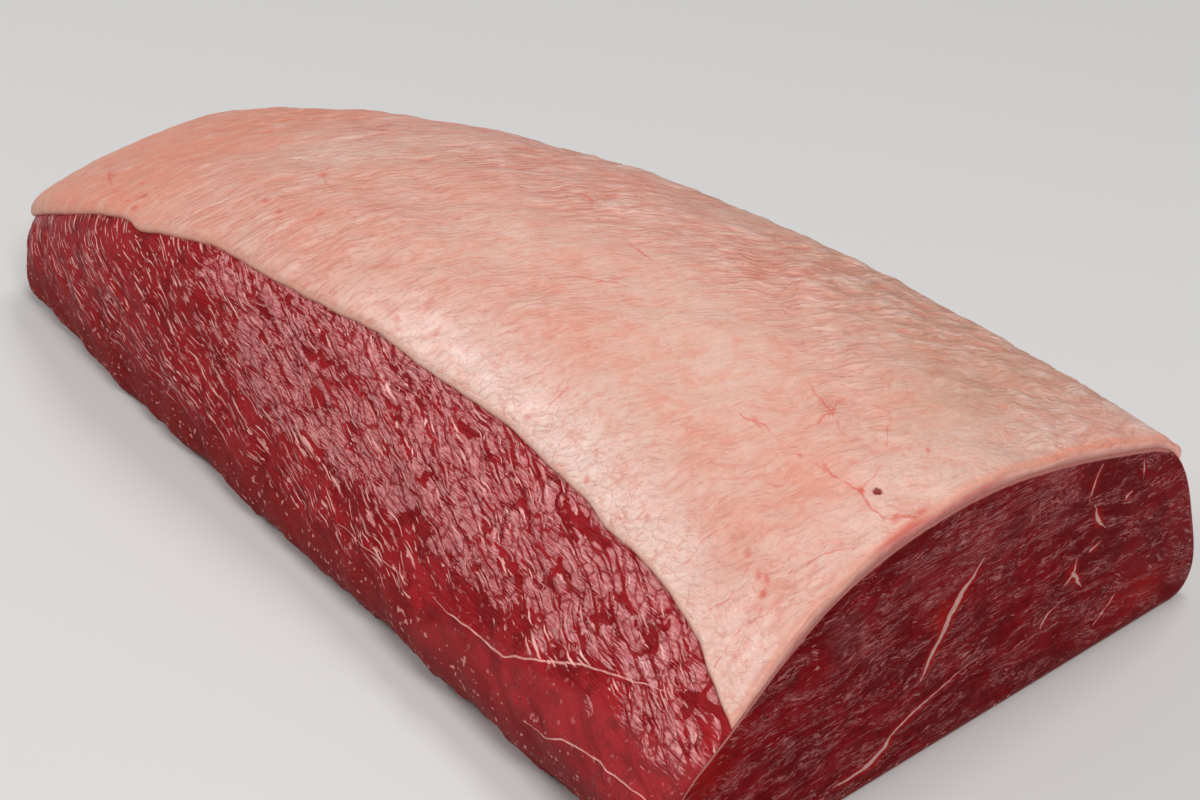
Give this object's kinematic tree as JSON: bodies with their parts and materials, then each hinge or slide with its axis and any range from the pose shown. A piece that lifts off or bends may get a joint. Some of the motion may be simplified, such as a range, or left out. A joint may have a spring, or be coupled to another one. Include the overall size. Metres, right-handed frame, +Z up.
{
  "type": "raw picanha",
  "caption": "Whole raw rump cap of beef: a long wedge of lean with a domed fat cap on top, thin at one end and cut straight across at the other.",
  "frame": {"origin": "centre of the whole part's box in X and Y, on the flat base that it rests on", "axes": "+X along the muscle to its wide cut face, +Y to its steep side, +Z up through the fat cap"},
  "size_m": [0.2632, 0.1468, 0.0689],
  "materials": {
    "lean": "moist raw beef, deep red, with a soft sheen",
    "fat": "moist raw beef fat, pale cream pink, finely wrinkled, with a soft sheen"
  },
  "bodies": {
    "root": {"lean": "lean", "fat_cap": "fat"}
  },
  "joints": []
}
